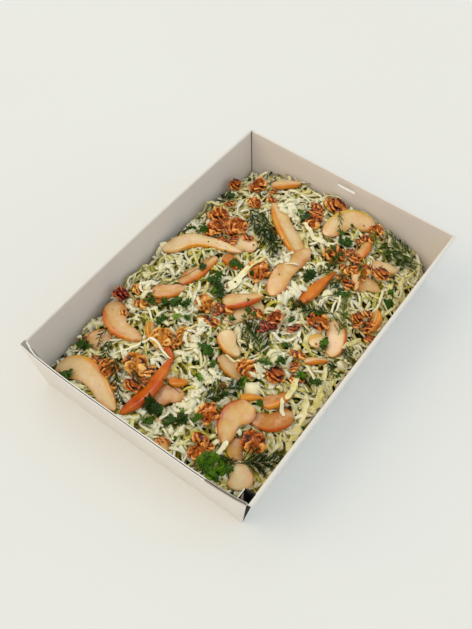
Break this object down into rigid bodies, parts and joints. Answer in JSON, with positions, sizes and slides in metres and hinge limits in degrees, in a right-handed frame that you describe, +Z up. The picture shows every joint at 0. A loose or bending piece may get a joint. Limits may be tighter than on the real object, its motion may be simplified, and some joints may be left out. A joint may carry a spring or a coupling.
{
  "type": "coleslaw",
  "caption": "Shallow white paperboard catering tray with flared walls, heaped with shredded cabbage slaw under pear slices, candied walnuts, dill and parsley.",
  "frame": {"origin": "middle of the tray's underside, on the surface it stands on", "axes": "+Z up, +Y along the tray towards the short wall with the finger slot, +X across the tray"},
  "size_m": [0.252, 0.359, 0.07],
  "materials": {
    "paperboard": "matt uncoated white paperboard with soft folds",
    "cabbage": "moist shredded cabbage, white to pale yellow-green",
    "pear": "moist peach flesh with an orange to red skin along one edge",
    "candied_walnut": "glossy caramel glaze over lobed kernels",
    "herbs": "fresh dill fronds and parsley leaves"
  },
  "bodies": {
    "root": {"tray": "paperboard", "slaw": "cabbage", "pear_slice_01": "pear", "pear_slice_02": "pear", "pear_slice_03": "pear", "pear_slice_04": "pear", "pear_slice_05": "pear", "pear_slice_06": "pear", "pear_slice_07": "pear", "pear_slice_08": "pear", "pear_slice_09": "pear", "pear_slice_10": "pear", "pear_slice_11": "pear", "pear_slice_12": "pear", "pear_slice_13": "pear", "pear_slice_14": "pear", "pear_slice_15": "pear", "pear_slice_16": "pear", "pear_slice_17": "pear", "pear_slice_18": "pear", "pear_slice_19": "pear", "pear_slice_20": "pear", "pear_slice_21": "pear", "pear_slice_22": "pear", "pear_slice_23": "pear", "pear_slice_24": "pear", "pear_slice_25": "pear", "pear_slice_26": "pear", "pear_slice_27": "pear", "pear_slice_28": "pear", "pear_slice_29": "pear", "walnut_01": "candied_walnut", "walnut_02": "candied_walnut", "walnut_03": "candied_walnut", "walnut_04": "candied_walnut", "walnut_05": "candied_walnut", "walnut_06": "candied_walnut", "walnut_07": "candied_walnut", "walnut_08": "candied_walnut", "walnut_09": "candied_walnut", "walnut_10": "candied_walnut", "walnut_11": "candied_walnut", "walnut_12": "candied_walnut", "walnut_13": "candied_walnut", "walnut_14": "candied_walnut", "walnut_15": "candied_walnut", "walnut_16": "candied_walnut", "walnut_17": "candied_walnut", "walnut_18": "candied_walnut", "walnut_19": "candied_walnut", "walnut_20": "candied_walnut", "walnut_21": "candied_walnut", "walnut_22": "candied_walnut", "walnut_23": "candied_walnut", "walnut_24": "candied_walnut", "walnut_25": "candied_walnut", "walnut_26": "candied_walnut", "walnut_27": "candied_walnut", "walnut_28": "candied_walnut", "walnut_29": "candied_walnut"}
  },
  "joints": []
}
